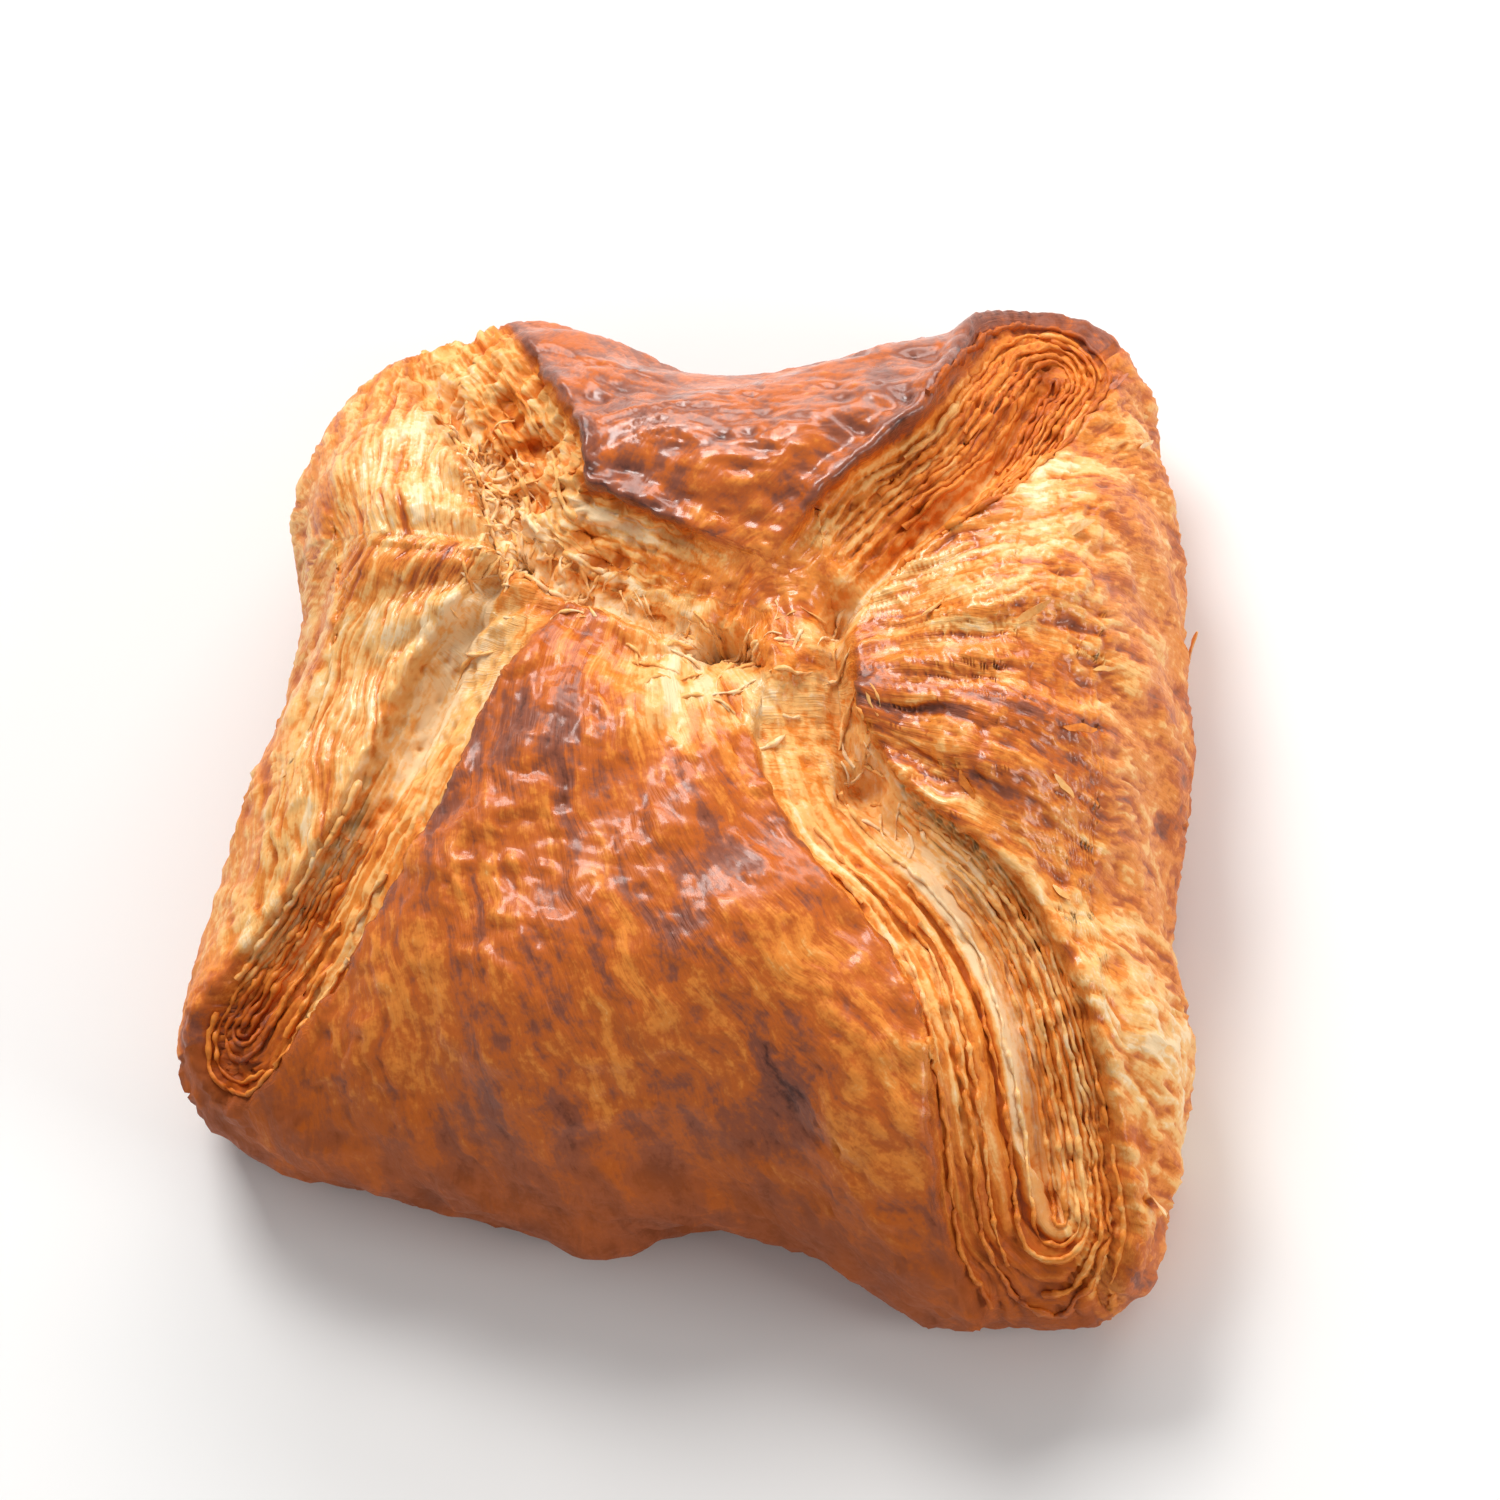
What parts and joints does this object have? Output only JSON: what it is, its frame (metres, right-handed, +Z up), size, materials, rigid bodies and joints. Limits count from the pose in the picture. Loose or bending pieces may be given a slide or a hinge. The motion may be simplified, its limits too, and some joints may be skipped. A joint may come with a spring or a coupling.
{
  "type": "danish pastry",
  "caption": "Baked danish pastry: a square of flaky laminated dough with its corners folded to the middle, puffed into soft flaps with layered seams and a flat base.",
  "frame": {"origin": "centre of the bounding box, on the plane the flat baked underside rests on", "axes": "+Z up through the folded face, +Y towards the back flap, +X towards the right flap as seen in the picture"},
  "size_m": [0.0946, 0.0946, 0.0365],
  "materials": {
    "crust": "egg-washed golden brown baked crust, glossy on the crowns, pale and dry along the seams"
  },
  "bodies": {
    "root": {"pastry": "crust"}
  },
  "joints": []
}
